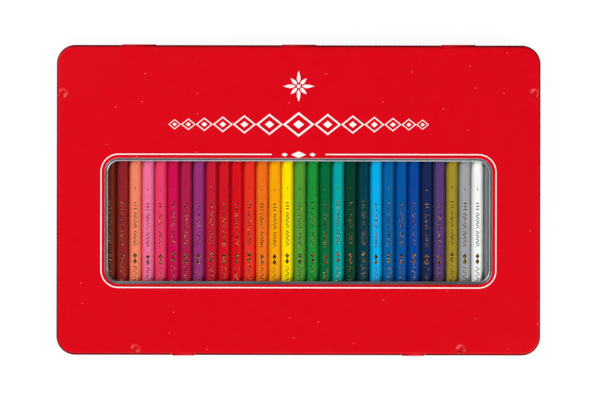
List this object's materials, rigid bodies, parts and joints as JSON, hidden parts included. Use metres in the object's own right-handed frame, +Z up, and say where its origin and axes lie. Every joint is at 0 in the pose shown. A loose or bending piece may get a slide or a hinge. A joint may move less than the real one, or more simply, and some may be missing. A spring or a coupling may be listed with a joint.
{
  "type": "coloured pencil box",
  "caption": "Flat hinged tin with a window in its lid, holding a row of sharpened hexagonal coloured pencils in a grooved tray.",
  "frame": {"origin": "on the ground under the middle of the tin", "axes": "+X along the row of pencils, +Y to the hinge at the back, +Z up out of the lid"},
  "size_m": [0.2928, 0.1884, 0.015],
  "materials": {
    "red_tinplate": "red printed lacquer outside, bare tinplate on the rolled edges and inside",
    "clear_sheet": "clear",
    "tray_plastic": "satin, formed sheet",
    "lacquer_umber": "gloss lacquer over wood",
    "lacquer_walnut": "gloss lacquer over wood",
    "lacquer_tan": "gloss lacquer over wood",
    "lacquer_chestnut": "gloss lacquer over wood",
    "lacquer_oxide_red": "gloss lacquer over wood",
    "core_browns": "waxy coloured core",
    "lacquer_salmon": "gloss lacquer over wood",
    "lacquer_pink": "gloss lacquer over wood",
    "lacquer_rose": "gloss lacquer over wood",
    "lacquer_magenta": "gloss lacquer over wood",
    "lacquer_crimson": "gloss lacquer over wood",
    "lacquer_purple": "gloss lacquer over wood",
    "core_pinks": "waxy coloured core",
    "lacquer_carmine": "gloss lacquer over wood",
    "lacquer_ruby": "gloss lacquer over wood",
    "lacquer_red": "gloss lacquer over wood",
    "lacquer_scarlet": "gloss lacquer over wood",
    "core_reds": "waxy coloured core",
    "lacquer_orange": "gloss lacquer over wood",
    "lacquer_amber": "gloss lacquer over wood",
    "lacquer_yellow": "gloss lacquer over wood",
    "core_yellows": "waxy coloured core",
    "lacquer_leaf_green": "gloss lacquer over wood",
    "lacquer_green": "gloss lacquer over wood",
    "lacquer_dark_green": "gloss lacquer over wood",
    "lacquer_turquoise": "gloss lacquer over wood",
    "lacquer_pine_green": "gloss lacquer over wood",
    "core_greens": "waxy coloured core",
    "lacquer_petrol": "gloss lacquer over wood",
    "lacquer_sky_blue": "gloss lacquer over wood",
    "lacquer_mid_blue": "gloss lacquer over wood",
    "lacquer_deep_blue": "gloss lacquer over wood",
    "lacquer_royal_blue": "gloss lacquer over wood",
    "lacquer_navy": "gloss lacquer over wood",
    "lacquer_violet": "gloss lacquer over wood",
    "core_blues": "waxy coloured core",
    "lacquer_old_gold": "gloss lacquer over wood",
    "lacquer_silver": "gloss lacquer over wood",
    "lacquer_white": "gloss lacquer over wood",
    "lacquer_grey": "gloss lacquer over wood",
    "lacquer_slate": "gloss lacquer over wood",
    "lacquer_black": "gloss lacquer over wood",
    "core_greys": "waxy coloured core"
  },
  "bodies": {
    "base": {"base_tin": "red_tinplate", "pencil_tray": "tray_plastic", "pencil_umber": "lacquer_umber", "pencil_walnut": "lacquer_walnut", "pencil_tan": "lacquer_tan", "pencil_chestnut": "lacquer_chestnut", "pencil_oxide_red": "lacquer_oxide_red", "cores_browns": "core_browns", "pencil_salmon": "lacquer_salmon", "pencil_pink": "lacquer_pink", "pencil_rose": "lacquer_rose", "pencil_magenta": "lacquer_magenta", "pencil_crimson": "lacquer_crimson", "pencil_purple": "lacquer_purple", "cores_pinks": "core_pinks", "pencil_carmine": "lacquer_carmine", "pencil_ruby": "lacquer_ruby", "pencil_red": "lacquer_red", "pencil_scarlet": "lacquer_scarlet", "cores_reds": "core_reds", "pencil_orange": "lacquer_orange", "pencil_amber": "lacquer_amber", "pencil_yellow": "lacquer_yellow", "cores_yellows": "core_yellows", "pencil_leaf_green": "lacquer_leaf_green", "pencil_green": "lacquer_green", "pencil_dark_green": "lacquer_dark_green", "pencil_turquoise": "lacquer_turquoise", "pencil_pine_green": "lacquer_pine_green", "cores_greens": "core_greens", "pencil_petrol": "lacquer_petrol", "pencil_sky_blue": "lacquer_sky_blue", "pencil_mid_blue": "lacquer_mid_blue", "pencil_deep_blue": "lacquer_deep_blue", "pencil_royal_blue": "lacquer_royal_blue", "pencil_navy": "lacquer_navy", "pencil_violet": "lacquer_violet", "cores_blues": "core_blues", "pencil_old_gold": "lacquer_old_gold", "pencil_silver": "lacquer_silver", "pencil_white": "lacquer_white", "pencil_grey": "lacquer_grey", "pencil_slate": "lacquer_slate", "pencil_black": "lacquer_black", "cores_greys": "core_greys"},
    "lid": {"lid": "red_tinplate", "window_pane": "clear_sheet"}
  },
  "joints": [
    {"name": "lid_hinge", "type": "hinge", "parent": "base", "child": "lid", "pos_m": [0, 0.093, 0.0075], "axis": [-1, 0, 0], "range_deg": [0, 180]}
  ]
}
